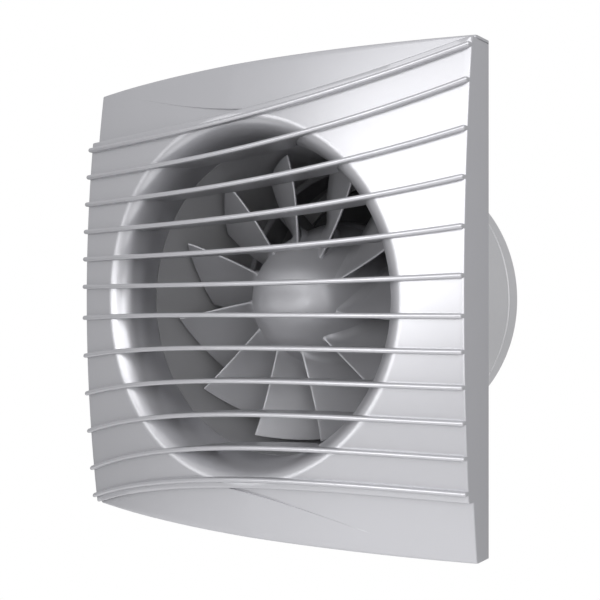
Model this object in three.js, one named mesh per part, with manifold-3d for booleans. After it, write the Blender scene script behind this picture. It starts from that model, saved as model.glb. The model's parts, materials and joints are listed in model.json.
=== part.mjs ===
// Bathroom extractor fan for a 125 mm duct: clip-on louvred front cover, wall plate and duct tube,
// eleven-blade axial impeller on a shaded-pole motor, and a spring-loaded butterfly back-draught valve.
// Millimetres. +X is right seen from the front, +Y runs into the wall along the duct, +Z is up.
// The origin is on the fan's axis, in the plane of the wall.
import * as THREE from 'three';
import { mergeVertices } from 'three/addons/utils/BufferGeometryUtils.js';
import Module from 'manifold-3d';

// ---------- driving dimensions ----------
const GAP = 0.3;                 // clearance kept between touching pieces
const SIDE = 180;                // front cover, square
const HALF = SIDE / 2;
const EDGE_DEPTH = 13.1;         // depth of the cover at its corners
const CROWN_X = 13.9;            // extra depth from the left and right edges to the middle
const CROWN_Z = 6.5;             // extra depth from the top and bottom edges to the middle
const CROWN_XZ = 1.0;            // extra depth that only the middle has
const STEP = 3.6;                // recess of the top and bottom fields
const STEP_ABOVE_LOUVRE = 3.5;   // distance from the outer louvre to the step
const COVER_WALL = 2.4;
const THROAT_RADIUS = 61.2;
const THROAT_WALL = 2.2;
const THROAT_END = -6.3;
const LIP_RADIUS = 69.8;         // where the rounded lip leaves the face
const LIP_END = -13;             // where the lip has narrowed to the throat
const LIP_LENGTH = 18;

const LOUVRES = 12;
const INNER_CURVE = 3.41;        // power of the innermost louvre's rise towards its right-hand end
const CURVE_DROP = 0.156;        // how much that power drops at each louvre outwards
const SAG_PER_LOUVRE = 0.22;     // how much lower the middle hangs, for each louvre outwards
const LEFT_PITCH = 11.92;        // louvre pitch at the left-hand end
const RIGHT_PITCH = 16.47;       // louvre pitch at the right-hand end
const LEFT_INNER = 5.5;          // height of the innermost louvre at its left end
const RIGHT_INNER = 8.0;         // and at its right end
const RIGHT_OUTER = 86.0;        // height of the outermost louvre at its right end
const BEAD_PROUD = 2.8;          // bead front in front of the face
const BEAD_HALF = 0.9;
const FIN_DEPTH = 15.5;          // fin behind the bead, inside the opening
const FIN_HALF = 0.65;
const FIN_REACH = 60.6;          // radius inside which the fins are deep

const PLATE_HALF = 86.5;
const PLATE_THICK = 2.5;
const PLATE_CORNER = 5;
const RIM_THICK = 1.8;
const RIM_REACH = 5;
const CLIP_REACH = 7.5;          // clips that the cover snaps over
const CLIP_X = 50;
const CLIP_HALF = 5;
const CLIP_THICK = 3.7;
const FIXING_OFFSET = 72;        // wall screw holes, from the axis in X and in Z
const FIXING_RADIUS = 2.4;
const CABLE_X = -74;             // mains cable inlet
const CABLE_Z = -48;
const CABLE_RADIUS = 6;
const GROMMET_BORE = 3.6;
const GROMMET_FRONT = -6;
const TERMINAL_X = -62;
const TERMINAL_Z = -72;
const TERMINAL_FRONT = -13;
const TERMINAL_PITCH = 9;
const TERMINAL_HALF_X = 15;
const TERMINAL_HALF_Z = 7;
const WELL_RADIUS = 2.6;         // screw wells in the terminal block
const WELL_DEPTH = 4;
const CLAMP_X = -72;
const CLAMP_Z = -58;
const CLAMP_SCREW = 7.5;         // clamp screws, either side of the cable
const STRAP_SCREW_RADIUS = 1.2;
const STRAP_HALF = 10;           // half the length of the strap over the cable
const STRAP_THICK = 2;
const STRAP_WIDTH = 5;
const ARCH_OUTER = 5;
const ARCH_INNER = 3.4;
const TUBE_OUTER = 62.2;         // spigot for a 125 mm duct
const TUBE_INNER = 60.7;
const TUBE_FRONT = -6;
const TUBE_END = 82.2;
const COLLAR_END = 92;           // rear end of the valve collar

const BLADES = 11;
const BLADE_TIP = 58.3;
const BLADE_EMBED = 1.2;         // how far the blade roots sink into the hub
const LEAD_ROOT_Y = 9.7;         // leading edge depth at the hub
const LEAD_TIP_Y = 5.4;          // and at the tip
const TRAIL_ROOT_Y = 35;
const TRAIL_TIP_Y = 29.5;
const LEAD_ANGLE = 83;           // first blade, degrees from +X
const LEAD_SWEEP = 7;
const CHORD_ROOT_TURN = 38;      // how far the blade turns from front to back, at the hub
const CHORD_TIP_TURN = 26.5;     // and at the tip
const BLADE_THICK = 1.3;
const HUB_RADIUS = 32.5;         // at the rear rim
const HUB_NOSE = 1.5;
const HUB_END = 39;
const HUB_CURVE = 0.28;          // power of the hub's flare from its nose to its rear rim
const HUB_WALL = 2.4;
const BOSS_RADIUS = 7.5;

const SHAFT_RADIUS = 3;
const SHAFT_FRONT = 20.5;
const SHAFT_END = 76.7;
const BUSH_RADIUS = 4.6;
const POD_OUTER = 34;            // motor housing
const POD_INNER = 32;
const POD_FRONT = 43;
const POD_FLOOR = 45.2;
const POD_END = 78;
const LID_THICK = 3;
const VENT_HALF = 14;            // half the length of the slots in the motor's lid
const VENT_WIDTH = 3;
const VENT_PITCH = 6;
const LID_SCREW_RADIUS = 1.5;
const LUG_X = 29;                // screw lugs inside the motor housing
const LUG_RADIUS = 3.5;
const RING_OUTER = TUBE_INNER - GAP;
const RING_INNER = 57.6;
const RING_FRONT = 56;
const RING_END = 72;
const ARMS = 4;
const ARM_HALF = 1.3;

const STACK_FRONT = 54;          // laminated stack of the motor
const STACK_END = 70;
const STACK_HALF = 18;
const STACK_TOP = 14;
const STACK_CHAMFER = 4.5;
const ROTOR_RADIUS = 9.2;
const ROTOR_BORE = 9.9;
const LIMB_TOP = -19;            // lower limb of the stack, which carries the coil
const LIMB_BOTTOM = -24;
const WINDOW_HALF = 11;
const WINDOW_TOP = -12;
const BOBBIN_WALL = 1.2;
const COIL_OUTER = 5.6;
const BRACKET_FRONT = 48.2;
const BRACKET_REAR = 73;
const BRACKET_THICK = 3.2;
const EAR_TOP = 9;               // bolt ears at the bracket's ends
const EAR_BOTTOM = 3;
const BRIDGE_HALF = 9;           // middle of the bracket, round the bearing
const BRIDGE_TOP = 12;
const BRIDGE_BOTTOM = -8;
const FOOT_RADIUS = 3.2;
const BEARING_RADIUS = 6;
const BOLT_X = 14.4;
const BOLT_Z = 6;
const BOLT_RADIUS = 1.5;

const FLAP_RADIUS = 56.8;
const FLAP_THICK = 1.2;
const FLAP_Y = 84.9;             // front face of the closed flaps
const FLAP_INNER = 3.2;          // flap edge beside the hinge pin
const SEAT_RADIUS = 54.5;
const SEAT_END = 84.4;
const KNUCKLE_RADIUS = 2.7;
const KNUCKLE_LENGTH = 8;
const SPRING_RADIUS = 2.5;
const SPRING_WIRE = 0.35;
const SPRING_TURNS = 4;
const SPRING_LENGTH = 6;
const SPRING_LEG = 9;            // leg that lies on the back of the flap
const PIN_RADIUS = 1.5;
const PIN_LENGTH = 117.6;
const PIN_Y = 88;
const PIN_BOSS_HALF = 3.2;
const BAR_HALF = 4.2;            // bar across the valve seat, in front of the hinge pin
const ROUND = 40;                // segments of the large rounds

// ---------- materials ----------
function plastic(color, roughness) {
  return new THREE.MeshStandardMaterial({ color, roughness, metalness: 0.05 });
}
function metal(color, roughness) {
  return new THREE.MeshStandardMaterial({ color, roughness, metalness: 1 });
}
const silver = plastic(0xb9b9be, 0.38);
const silverBlade = plastic(0x9c9ca2, 0.42);
const greyPlastic = plastic(0x8b8b90, 0.5);
const charcoal = plastic(0x3c3d40, 0.6);
const whiteNylon = plastic(0xdcdcd6, 0.5);
const windingTape = plastic(0xc8b46a, 0.6);
const rubberBlack = plastic(0x202022, 0.9);
const steel = metal(0xb4b6ba, 0.3);
const laminated = metal(0x8c8e92, 0.55);
const castAluminium = metal(0xbfc1c4, 0.45);
const brass = metal(0xc9a552, 0.35);

// ---------- solids ----------
const wasm = await Module();
wasm.setup();

function toSolid(geometry) {
  const bare = geometry.index ? geometry.clone() : geometry;
  bare.deleteAttribute('normal');
  bare.deleteAttribute('uv');
  const merged = mergeVertices(bare, 1e-4);
  const vertProperties = new Float32Array(merged.attributes.position.array);
  const triVerts = new Uint32Array(merged.index.array);
  return new wasm.Manifold(new wasm.Mesh({ numProp: 3, vertProperties, triVerts }));
}

function toGeometry(solid) {
  const mesh = solid.getMesh();
  const geometry = new THREE.BufferGeometry();
  geometry.setAttribute('position', new THREE.BufferAttribute(new Float32Array(mesh.vertProperties), 3));
  geometry.setIndex(new THREE.BufferAttribute(new Uint32Array(mesh.triVerts), 1));
  geometry.computeVertexNormals();
  return geometry;
}

function join(...geometries) {
  return toGeometry(geometries.map(toSolid).reduce((sum, solid) => sum.add(solid)));
}

function cut(geometry, ...tools) {
  return toGeometry(tools.map(toSolid).reduce((rest, tool) => rest.subtract(tool), toSolid(geometry)));
}

// The same surface with its faces pointing out.
function facingOut(geometry) {
  const p = geometry.attributes.position;
  const index = geometry.index.array;
  const [a, b, c] = [new THREE.Vector3(), new THREE.Vector3(), new THREE.Vector3()];
  let volume = 0;
  for (let i = 0; i < index.length; i += 3) {
    a.fromBufferAttribute(p, index[i]);
    b.fromBufferAttribute(p, index[i + 1]);
    c.fromBufferAttribute(p, index[i + 2]);
    volume += a.dot(b.cross(c));
  }
  if (volume < 0) {
    for (let i = 0; i < index.length; i += 3) [index[i], index[i + 1]] = [index[i + 1], index[i]];
  }
  geometry.computeVertexNormals();
  return geometry;
}

// A closed skin over a stack of rings with equal point counts; the first and last rings are capped.
function loft(rings) {
  const count = rings[0].length;
  const positions = rings.flat().flatMap((p) => [p.x, p.y, p.z]);
  const index = [];
  for (let r = 0; r + 1 < rings.length; r += 1) {
    for (let i = 0; i < count; i += 1) {
      const a = r * count + i;
      const b = r * count + ((i + 1) % count);
      index.push(a, b, b + count, a, b + count, a + count);
    }
  }
  for (let i = 1; i + 1 < count; i += 1) {
    const last = (rings.length - 1) * count;
    index.push(0, i + 1, i, last, last + i, last + i + 1);
  }
  const geometry = new THREE.BufferGeometry();
  geometry.setAttribute('position', new THREE.Float32BufferAttribute(positions, 3));
  geometry.setIndex(index);
  return facingOut(geometry);
}

// A round body about the Y axis from [radius, y] corners of its outline.
function turned(corners, segments = ROUND) {
  const profile = corners.map(([radius, y]) => new THREE.Vector2(radius, y));
  const hollow = corners.every(([radius]) => radius > 0);
  if (hollow) profile.push(profile[0].clone());
  return facingOut(new THREE.LatheGeometry(profile, segments));
}

// A plain ring about Y; the corners run so that the faces point out.
function ring(outer, inner, y0, y1, segments = ROUND) {
  return turned([[inner, y0], [outer, y0], [outer, y1], [inner, y1]], segments);
}

function disc(radius, y0, y1, segments = 32) {
  return turned([[0, y0], [radius, y0], [radius, y1], [0, y1]], segments);
}

function box(x0, x1, y0, y1, z0, z1) {
  const geometry = new THREE.BoxGeometry(x1 - x0, y1 - y0, z1 - z0);
  return geometry.translate((x0 + x1) / 2, (y0 + y1) / 2, (z0 + z1) / 2);
}

// A plate lying across the duct: an outline in X and Z, from y0 to y1.
function plate(shape, y0, y1, curveSegments = 8) {
  const geometry = new THREE.ExtrudeGeometry(shape, { depth: y1 - y0, bevelEnabled: false, curveSegments });
  return geometry.rotateX(Math.PI / 2).translate(0, y1, 0);
}

function squareOutline(half, corner) {
  const shape = new THREE.Shape();
  shape.moveTo(-half + corner, -half);
  shape.lineTo(half - corner, -half);
  shape.absarc(half - corner, -half + corner, corner, -Math.PI / 2, 0);
  shape.absarc(half - corner, half - corner, corner, 0, Math.PI / 2);
  shape.absarc(-half + corner, half - corner, corner, Math.PI / 2, Math.PI);
  shape.absarc(-half + corner, -half + corner, corner, Math.PI, Math.PI * 1.5);
  return shape;
}

// A pan-head screw along Y with its head towards -Y; seat is the y under the head.
function panScrew(x, z, seat, length, radius, headRadius, headHeight) {
  const profile = [[0, seat - headHeight], [headRadius * 0.7, seat - headHeight],
    [headRadius, seat - headHeight * 0.4], [headRadius, seat], [radius, seat],
    [radius, seat + length - radius], [radius * 0.3, seat + length], [0, seat + length]];
  const slotEnd = headRadius * 1.2;
  const slot = box(-slotEnd, slotEnd, seat - headHeight - 1, seat - headHeight * 0.5, -0.4, 0.4);
  return cut(turned(profile, 16), slot).translate(x, 0, z);
}

const fan = new THREE.Group();

function addPart(name, geometry, material) {
  const mesh = new THREE.Mesh(geometry, material);
  mesh.name = name;
  fan.add(mesh);
  return mesh;
}

// ---------- the crowned face ----------
function crown(x, z) {
  const across = 1 - (x / HALF) ** 2;
  const up = 1 - (z / HALF) ** 2;
  return EDGE_DEPTH + CROWN_X * across + CROWN_Z * up + CROWN_XZ * across * up;
}

// Height of louvre number k (1 at the top, 12 at the bottom); the lower six mirror the upper six
// through the middle of the face.
function louvreHeight(k, x) {
  if (k > LOUVRES / 2) return -louvreHeight(LOUVRES + 1 - k, -x);
  const inward = LOUVRES / 2 - k;   // 0 beside the middle, 5 at the outermost
  const left = LEFT_INNER + LEFT_PITCH * inward;
  const right = k === 1 ? RIGHT_OUTER : RIGHT_INNER + RIGHT_PITCH * inward;
  const rise = (right - left) * ((x + HALF) / SIDE) ** (INNER_CURVE - CURVE_DROP * inward);
  return left + rise - SAG_PER_LOUVRE * inward * (1 - (x / HALF) ** 2);
}

function stepTop(x) {
  return Math.min(louvreHeight(1, x) + STEP_ABOVE_LOUVRE, HALF - 1);
}

function stepBottom(x) {
  return -stepTop(-x);
}

// A slab behind the crowned surface, from the plane y = back to sink below the crown, reaching
// half each way in X and from low(x) to high(x) in Z.
function crownedSlab(half, low, high, sink, back) {
  const columns = 12;
  const rows = 8;
  const rings = [];
  for (let i = 0; i <= columns; i += 1) {
    const x = -half + (2 * half * i) / columns;
    const front = Array.from({ length: rows + 1 }, (_, j) => {
      const z = low(x) + ((high(x) - low(x)) * j) / rows;
      return new THREE.Vector3(x, sink - crown(x, z), z);
    });
    rings.push([...front, new THREE.Vector3(x, back, high(x)), new THREE.Vector3(x, back, low(x))]);
  }
  return loft(rings);
}

// The whole moulding as a solid block, or its hollow when inset is the wall thickness.
function crownedBlock(inset, back) {
  const half = HALF - inset;
  const margins = crownedSlab(half, () => -half, () => half, STEP + inset, back);
  const field = crownedSlab(half, (x) => stepBottom(x) + inset, (x) => stepTop(x) - inset, inset, back);
  return toSolid(margins).add(toSolid(field));
}

// The bell-mouth cut through the cover: a rounded lip that narrows to the throat.
function bellMouth() {
  const steps = 5;
  const profile = [[0, -60], [LIP_RADIUS, -60]];
  for (let i = steps; i >= 0; i -= 1) {
    const turn = (i / steps) * (Math.PI / 2);
    profile.push([THROAT_RADIUS + (LIP_RADIUS - THROAT_RADIUS) * (1 - Math.cos(turn)),
      LIP_END - LIP_LENGTH * Math.sin(turn)]);
  }
  profile.push([THROAT_RADIUS, 5], [0, 5]);
  return turned(profile);
}

function makeCover() {
  const outer = crownedBlock(0, 0);
  const shell = outer.subtract(crownedBlock(COVER_WALL, 1));
  const mouthWall = toSolid(turned([[THROAT_RADIUS - 1, THROAT_END],
    [THROAT_RADIUS + THROAT_WALL, THROAT_END], [THROAT_RADIUS + THROAT_WALL, LIP_END],
    [LIP_RADIUS + THROAT_WALL, LIP_END - LIP_LENGTH * 0.7], [LIP_RADIUS + THROAT_WALL, -60],
    [THROAT_RADIUS - 1, -60]]));
  return toGeometry(shell.add(mouthWall.intersect(outer)).subtract(toSolid(bellMouth())));
}

addPart('front_cover', makeCover(), silver);

// ---------- louvres ----------
// Where louvre k passes the rim of the fins, on the left (side -1) or right (side 1) of the axis.
function finEnd(k, side) {
  let x = side * FIN_REACH * 0.5;
  for (let i = 0; i < 40; i += 1) {
    const z = louvreHeight(k, x);
    const rest = FIN_REACH ** 2 - z ** 2;
    if (rest <= 0) return 0;
    x = (x + side * Math.sqrt(rest)) / 2;
  }
  return x;
}

// A thin bar from the left edge to the right edge of the cover. Its rounded bead stands proud of
// the face, and inside the opening it carries a deep horizontal fin.
function makeLouvre(k) {
  const left = finEnd(k, -1);
  const right = finEnd(k, 1);
  const between = (x0, x1, steps) => {
    return Array.from({ length: steps + 1 }, (_, i) => x0 + ((x1 - x0) * i) / steps);
  };
  const ringAt = (x, deep) => {
    const z = louvreHeight(k, x);
    const front = -crown(x, z) - BEAD_PROUD;
    const back = front + (deep ? FIN_DEPTH : BEAD_PROUD - GAP * 1.5);
    const half = deep ? FIN_HALF : BEAD_HALF;
    return [[front, -BEAD_HALF / 2], [front + BEAD_HALF, -BEAD_HALF], [back, -half], [back, half],
      [front + BEAD_HALF, BEAD_HALF], [front, BEAD_HALF / 2]]
      .map(([y, up]) => new THREE.Vector3(x, y, z + up));
  };
  if (left === 0 || right === 0) return loft(between(-HALF, HALF, 12).map((x) => ringAt(x, false)));
  return loft([
    ...between(-HALF, left - GAP, 4).map((x) => ringAt(x, false)),
    ...between(left, right, 5).map((x) => ringAt(x, true)),
    ...between(right + GAP, HALF, 4).map((x) => ringAt(x, false)),
  ]);
}

for (let k = 1; k <= LOUVRES; k += 1) {
  addPart(`louvre_${String(k).padStart(2, '0')}`, makeLouvre(k), silver);
}

// ---------- wall plate and duct tube ----------
function circleHole(shape, x, z, radius) {
  const hole = new THREE.Path();
  hole.absarc(x, z, radius, 0, Math.PI * 2, true);
  shape.holes.push(hole);
}

function makeWallPlate() {
  const outline = squareOutline(PLATE_HALF, PLATE_CORNER);
  [-1, 1].forEach((sx) => [-1, 1].forEach((sz) => {
    circleHole(outline, sx * FIXING_OFFSET, sz * FIXING_OFFSET, FIXING_RADIUS);
  }));
  circleHole(outline, CABLE_X, CABLE_Z, CABLE_RADIUS);
  const base = plate(outline, -PLATE_THICK, 0, 8);
  const rim = squareOutline(PLATE_HALF, PLATE_CORNER);
  const inside = squareOutline(PLATE_HALF - RIM_THICK, PLATE_CORNER - 1);
  rim.holes.push(new THREE.Path(inside.getPoints(4)));
  const clips = [-1, 1].flatMap((side) => [-1, 1].map((end) => {
    const clip = box(-CLIP_HALF, CLIP_HALF, -CLIP_REACH, -1, -CLIP_THICK / 2, CLIP_THICK / 2);
    return clip.translate(side * CLIP_X, 0, end * (PLATE_HALF - GAP - CLIP_THICK / 2));
  }));
  return cut(join(base, plate(rim, -RIM_REACH, -1, 4), ...clips), disc(TUBE_OUTER + GAP, -9, 1, ROUND));
}

addPart('wall_plate', makeWallPlate(), silver);

function makeTube() {
  const flange = TUBE_OUTER + 5;
  const flangeBack = -PLATE_THICK - GAP;
  return turned([[TUBE_INNER, TUBE_FRONT], [TUBE_OUTER, TUBE_FRONT], [TUBE_OUTER, flangeBack - 2],
    [flange, flangeBack - 2], [flange, flangeBack], [TUBE_OUTER, flangeBack],
    [TUBE_OUTER, TUBE_END - 0.6], [TUBE_OUTER - 0.6, TUBE_END], [TUBE_INNER, TUBE_END]]);
}

addPart('duct_tube', makeTube(), silver);

// ---------- motor holder ----------
function makeHolder() {
  const outerRing = ring(RING_OUTER, RING_INNER, RING_FRONT, RING_END);
  const eye = SHAFT_RADIUS + 4;    // opening round the shaft
  const pod = turned([[eye, POD_FRONT], [POD_OUTER - 3, POD_FRONT], [POD_OUTER, POD_FRONT + 3],
    [POD_OUTER, POD_END], [POD_INNER, POD_END], [POD_INNER, POD_FLOOR], [eye, POD_FLOOR]]);
  const arms = Array.from({ length: ARMS }, (_, i) => {
    const arm = box(POD_INNER + 0.5, RING_INNER + 1, RING_FRONT - 2, RING_END + 1, -ARM_HALF, ARM_HALF);
    return arm.rotateY(-Math.PI * (1 / 4 + i / 2));
  });
  const posts = [-1, 1].map((side) => {
    return disc(3, POD_FRONT + 1, BRACKET_FRONT - GAP, 12).translate(side * BOLT_X, 0, BOLT_Z);
  });
  const lugs = [-1, 1].map((side) => {
    return disc(LUG_RADIUS, POD_END - 8, POD_END, 12).translate(side * LUG_X, 0, 0);
  });
  const holes = [-1, 1].map((side) => {
    return disc(LID_SCREW_RADIUS + GAP, POD_END - 9, POD_END + 1, 10).translate(side * LUG_X, 0, 0);
  });
  return cut(join(outerRing, pod, ...arms, ...posts, ...lugs), ...holes);
}

addPart('motor_holder', makeHolder(), greyPlastic);

function makeMotorCover() {
  const back = POD_END + LID_THICK;
  const lid = turned([[0, POD_END + GAP], [POD_OUTER, POD_END + GAP], [POD_OUTER, back - 1],
    [POD_OUTER - 1.2, back], [0, back]]);
  const vents = [-1, 0, 1].map((i) => {
    const vent = box(-VENT_HALF, VENT_HALF, POD_END - 1, back + 1, -VENT_WIDTH / 2, VENT_WIDTH / 2);
    return vent.translate(0, 0, i * VENT_PITCH);
  });
  const holes = [-1, 1].map((side) => {
    return disc(LID_SCREW_RADIUS + GAP, POD_END - 1, back + 1, 10).translate(side * LUG_X, 0, 0);
  });
  return cut(lid, ...vents, ...holes);
}

addPart('motor_cover', makeMotorCover(), greyPlastic);
[-1, 1].forEach((side, i) => {
  const screw = panScrew(0, 0, 0, 8, LID_SCREW_RADIUS, 2.4, 1.6);
  screw.rotateX(Math.PI).translate(side * LUG_X, POD_END + LID_THICK + GAP, 0);
  addPart(`motor_cover_screw_${i + 1}`, screw, steel);
});

// ---------- impeller ----------
// Radius of the hub at a depth y: a blunt nose that flares to the rear rim.
function hubRadius(y, rim = HUB_RADIUS, nose = HUB_NOSE) {
  return rim * ((y - nose) / (HUB_END - nose)) ** HUB_CURVE;
}

// One blade: a twisted plate whose leading edge sweeps and whose chord turns round the axis. Its
// root follows the hub, just under the surface.
function makeBlade(number) {
  const radial = 3;
  const chordwise = 4;
  const point = (s, t, face) => {
    const lead = LEAD_ROOT_Y + (LEAD_TIP_Y - LEAD_ROOT_Y) * s ** 3;
    const trail = TRAIL_ROOT_Y + (TRAIL_TIP_Y - TRAIL_ROOT_Y) * s;
    const turn = CHORD_ROOT_TURN + (CHORD_TIP_TURN - CHORD_ROOT_TURN) * s;
    const start = LEAD_ANGLE + (360 / BLADES) * number + LEAD_SWEEP * Math.sqrt(s);
    const angle = THREE.MathUtils.degToRad(start + turn * t);
    const y = lead + (trail - lead) * t + (face * BLADE_THICK) / 2;
    const rootY = LEAD_ROOT_Y + (TRAIL_ROOT_Y - LEAD_ROOT_Y) * t;
    const root = hubRadius(rootY) - BLADE_EMBED;
    const radius = root + (BLADE_TIP - root) * s;
    return new THREE.Vector3(radius * Math.cos(angle), y, radius * Math.sin(angle));
  };
  const rings = [];
  for (let i = 0; i <= radial; i += 1) {
    const steps = Array.from({ length: chordwise + 1 }, (_, j) => j / chordwise);
    const front = steps.map((t) => point(i / radial, t, -1));
    const rear = steps.map((t) => point(i / radial, t, 1)).reverse();
    rings.push([...front, ...rear]);
  }
  return loft(rings);
}

function makeHub() {
  const steps = 8;
  const flare = (rim, nose) => Array.from({ length: steps + 1 }, (_, i) => {
    const y = nose + (HUB_END - nose) * (i / steps) ** (1 / HUB_CURVE);
    return [hubRadius(y, rim, nose), y];
  });
  const outside = flare(HUB_RADIUS, HUB_NOSE);
  const inside = flare(HUB_RADIUS - HUB_WALL, HUB_NOSE + 1.4 * HUB_WALL).reverse();
  const boss = ring(BOSS_RADIUS, BUSH_RADIUS + GAP, HUB_NOSE + HUB_WALL, HUB_END, 24);
  return [turned([...outside, ...inside], BLADES * 2), boss];
}

function makeImpeller() {
  const blades = Array.from({ length: BLADES }, (_, i) => makeBlade(i));
  return join(...makeHub(), ...blades);
}

addPart('impeller', makeImpeller(), silverBlade);
addPart('hub_bush', ring(BUSH_RADIUS, SHAFT_RADIUS + 0.2, SHAFT_FRONT + 1, HUB_END, 24), brass);

// ---------- motor ----------
addPart('motor_shaft', turned([[0, SHAFT_FRONT], [SHAFT_RADIUS - 0.5, SHAFT_FRONT],
  [SHAFT_RADIUS, SHAFT_FRONT + 0.6], [SHAFT_RADIUS, SHAFT_END - 0.4], [SHAFT_RADIUS - 0.4, SHAFT_END],
  [0, SHAFT_END]], 24), steel);
const rotorCore = ring(ROTOR_RADIUS, SHAFT_RADIUS + 0.2, STACK_FRONT + GAP, STACK_END - GAP, 32);
addPart('rotor_core', rotorCore, laminated);
addPart('rotor_ring_front', ring(ROTOR_RADIUS - 0.4, 5, STACK_FRONT - 1.5, STACK_FRONT, 24), castAluminium);
addPart('rotor_ring_rear', ring(ROTOR_RADIUS - 0.4, 5, STACK_END, STACK_END + 1.5, 24), castAluminium);

// C-shaped lamination stack: the rotor runs in its upper bore and the coil sits on its lower limb.
function makeStator() {
  const outline = new THREE.Shape();
  outline.moveTo(-STACK_HALF, STACK_TOP - STACK_CHAMFER);
  outline.lineTo(-STACK_HALF, LIMB_BOTTOM + STACK_CHAMFER);
  outline.lineTo(-STACK_HALF + STACK_CHAMFER, LIMB_BOTTOM);
  outline.lineTo(STACK_HALF - STACK_CHAMFER, LIMB_BOTTOM);
  outline.lineTo(STACK_HALF, LIMB_BOTTOM + STACK_CHAMFER);
  outline.lineTo(STACK_HALF, STACK_TOP - STACK_CHAMFER);
  outline.lineTo(STACK_HALF - STACK_CHAMFER, STACK_TOP);
  outline.lineTo(-STACK_HALF + STACK_CHAMFER, STACK_TOP);
  circleHole(outline, 0, 0, ROTOR_BORE);
  circleHole(outline, BOLT_X, BOLT_Z, BOLT_RADIUS + GAP);
  circleHole(outline, -BOLT_X, BOLT_Z, BOLT_RADIUS + GAP);
  const window = new THREE.Path();
  window.moveTo(-WINDOW_HALF, LIMB_TOP);
  window.lineTo(-WINDOW_HALF, WINDOW_TOP);
  window.lineTo(WINDOW_HALF, WINDOW_TOP);
  window.lineTo(WINDOW_HALF, LIMB_TOP);
  outline.holes.push(window);
  return plate(outline, STACK_FRONT, STACK_END, 10);
}

addPart('stator_laminations', makeStator(), laminated);

// A square sleeve round the coil limb, along X.
function sleeve(halfLength, inner, outer) {
  const around = box(-halfLength, halfLength, STACK_FRONT - outer, STACK_END + outer,
    LIMB_BOTTOM - outer, LIMB_TOP + outer);
  const bore = box(-halfLength - 1, halfLength + 1, STACK_FRONT - inner, STACK_END + inner,
    LIMB_BOTTOM - inner, LIMB_TOP + inner);
  return cut(around, bore);
}

const flanges = [-1, 1].map((side) => {
  return sleeve(0.6, GAP, COIL_OUTER).translate(side * (WINDOW_HALF - 1), 0, 0);
});
addPart('coil_bobbin', join(sleeve(WINDOW_HALF - 1, GAP, BOBBIN_WALL), ...flanges), whiteNylon);
addPart('coil_winding', sleeve(WINDOW_HALF - 2, BOBBIN_WALL + GAP, COIL_OUTER - GAP), windingTape);

// A die-cast bridge over one end of the rotor, with a bore for the bearing and two bolt ears.
function makeBracket(y0, y1, toStack) {
  const outline = new THREE.Shape();
  outline.moveTo(-STACK_HALF, EAR_TOP);
  outline.lineTo(-STACK_HALF, EAR_BOTTOM);
  outline.lineTo(-BRIDGE_HALF, BRIDGE_BOTTOM);
  outline.lineTo(BRIDGE_HALF, BRIDGE_BOTTOM);
  outline.lineTo(STACK_HALF, EAR_BOTTOM);
  outline.lineTo(STACK_HALF, EAR_TOP);
  outline.lineTo(BRIDGE_HALF, BRIDGE_TOP);
  outline.lineTo(-BRIDGE_HALF, BRIDGE_TOP);
  circleHole(outline, 0, 0, BEARING_RADIUS + GAP);
  const feet = [-1, 1].map((side) => {
    const foot = disc(FOOT_RADIUS, Math.min(y0, toStack), Math.max(y1, toStack), 14);
    return foot.translate(side * BOLT_X, 0, BOLT_Z);
  });
  const holes = [-1, 1].map((side) => {
    const hole = disc(BOLT_RADIUS + GAP, BRACKET_FRONT - 1, BRACKET_REAR + BRACKET_THICK + 1, 12);
    return hole.translate(side * BOLT_X, 0, BOLT_Z);
  });
  return cut(join(plate(outline, y0, y1, 10), ...feet), ...holes);
}

const frontBracket = makeBracket(BRACKET_FRONT, BRACKET_FRONT + BRACKET_THICK, STACK_FRONT - GAP);
const rearBracket = makeBracket(BRACKET_REAR, BRACKET_REAR + BRACKET_THICK, STACK_END + GAP);
addPart('front_bracket', frontBracket, castAluminium);
addPart('rear_bracket', rearBracket, castAluminium);
[['front_bearing', BRACKET_FRONT], ['rear_bearing', BRACKET_REAR]].forEach(([name, y]) => {
  addPart(name, ring(BEARING_RADIUS, SHAFT_RADIUS + 0.2, y, y + BRACKET_THICK, 24), steel);
});
[-1, 1].forEach((side, i) => {
  const bolt = panScrew(0, 0, 0, BRACKET_REAR + BRACKET_THICK - BRACKET_FRONT - 1, BOLT_RADIUS, 2.8, 1.4);
  bolt.rotateX(Math.PI).translate(side * BOLT_X, BRACKET_REAR + BRACKET_THICK + GAP, BOLT_Z);
  addPart(`motor_bolt_${i + 1}`, bolt, steel);
});

// ---------- mains connection ----------
function makeTerminalBlock() {
  const back = -PLATE_THICK - GAP;
  const body = box(-TERMINAL_HALF_X, TERMINAL_HALF_X, TERMINAL_FRONT, back,
    -TERMINAL_HALF_Z, TERMINAL_HALF_Z);
  const openings = [-1, 0, 1].flatMap((i) => {
    const well = disc(WELL_RADIUS, TERMINAL_FRONT - 1, TERMINAL_FRONT + WELL_DEPTH, 12);
    const mouth = box(-1.8, 1.8, TERMINAL_FRONT + WELL_DEPTH + 1, TERMINAL_FRONT + WELL_DEPTH + 4,
      -TERMINAL_HALF_Z - 1, TERMINAL_HALF_Z + 1);
    return [well, mouth].map((opening) => opening.translate(i * TERMINAL_PITCH, 0, 0));
  });
  return cut(body, ...openings).translate(TERMINAL_X, 0, TERMINAL_Z);
}

addPart('terminal_block', makeTerminalBlock(), whiteNylon);
[-1, 0, 1].forEach((i) => {
  const top = TERMINAL_FRONT + 0.8;
  const screw = disc(WELL_RADIUS - 0.4, top, TERMINAL_FRONT + WELL_DEPTH - 0.4, 12);
  const slot = box(-WELL_RADIUS, WELL_RADIUS, top - 1, top + 1, -0.4, 0.4);
  const geometry = cut(screw, slot).translate(TERMINAL_X + i * TERMINAL_PITCH, 0, TERMINAL_Z);
  addPart(`terminal_screw_${i + 2}`, geometry, steel);
});

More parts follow.
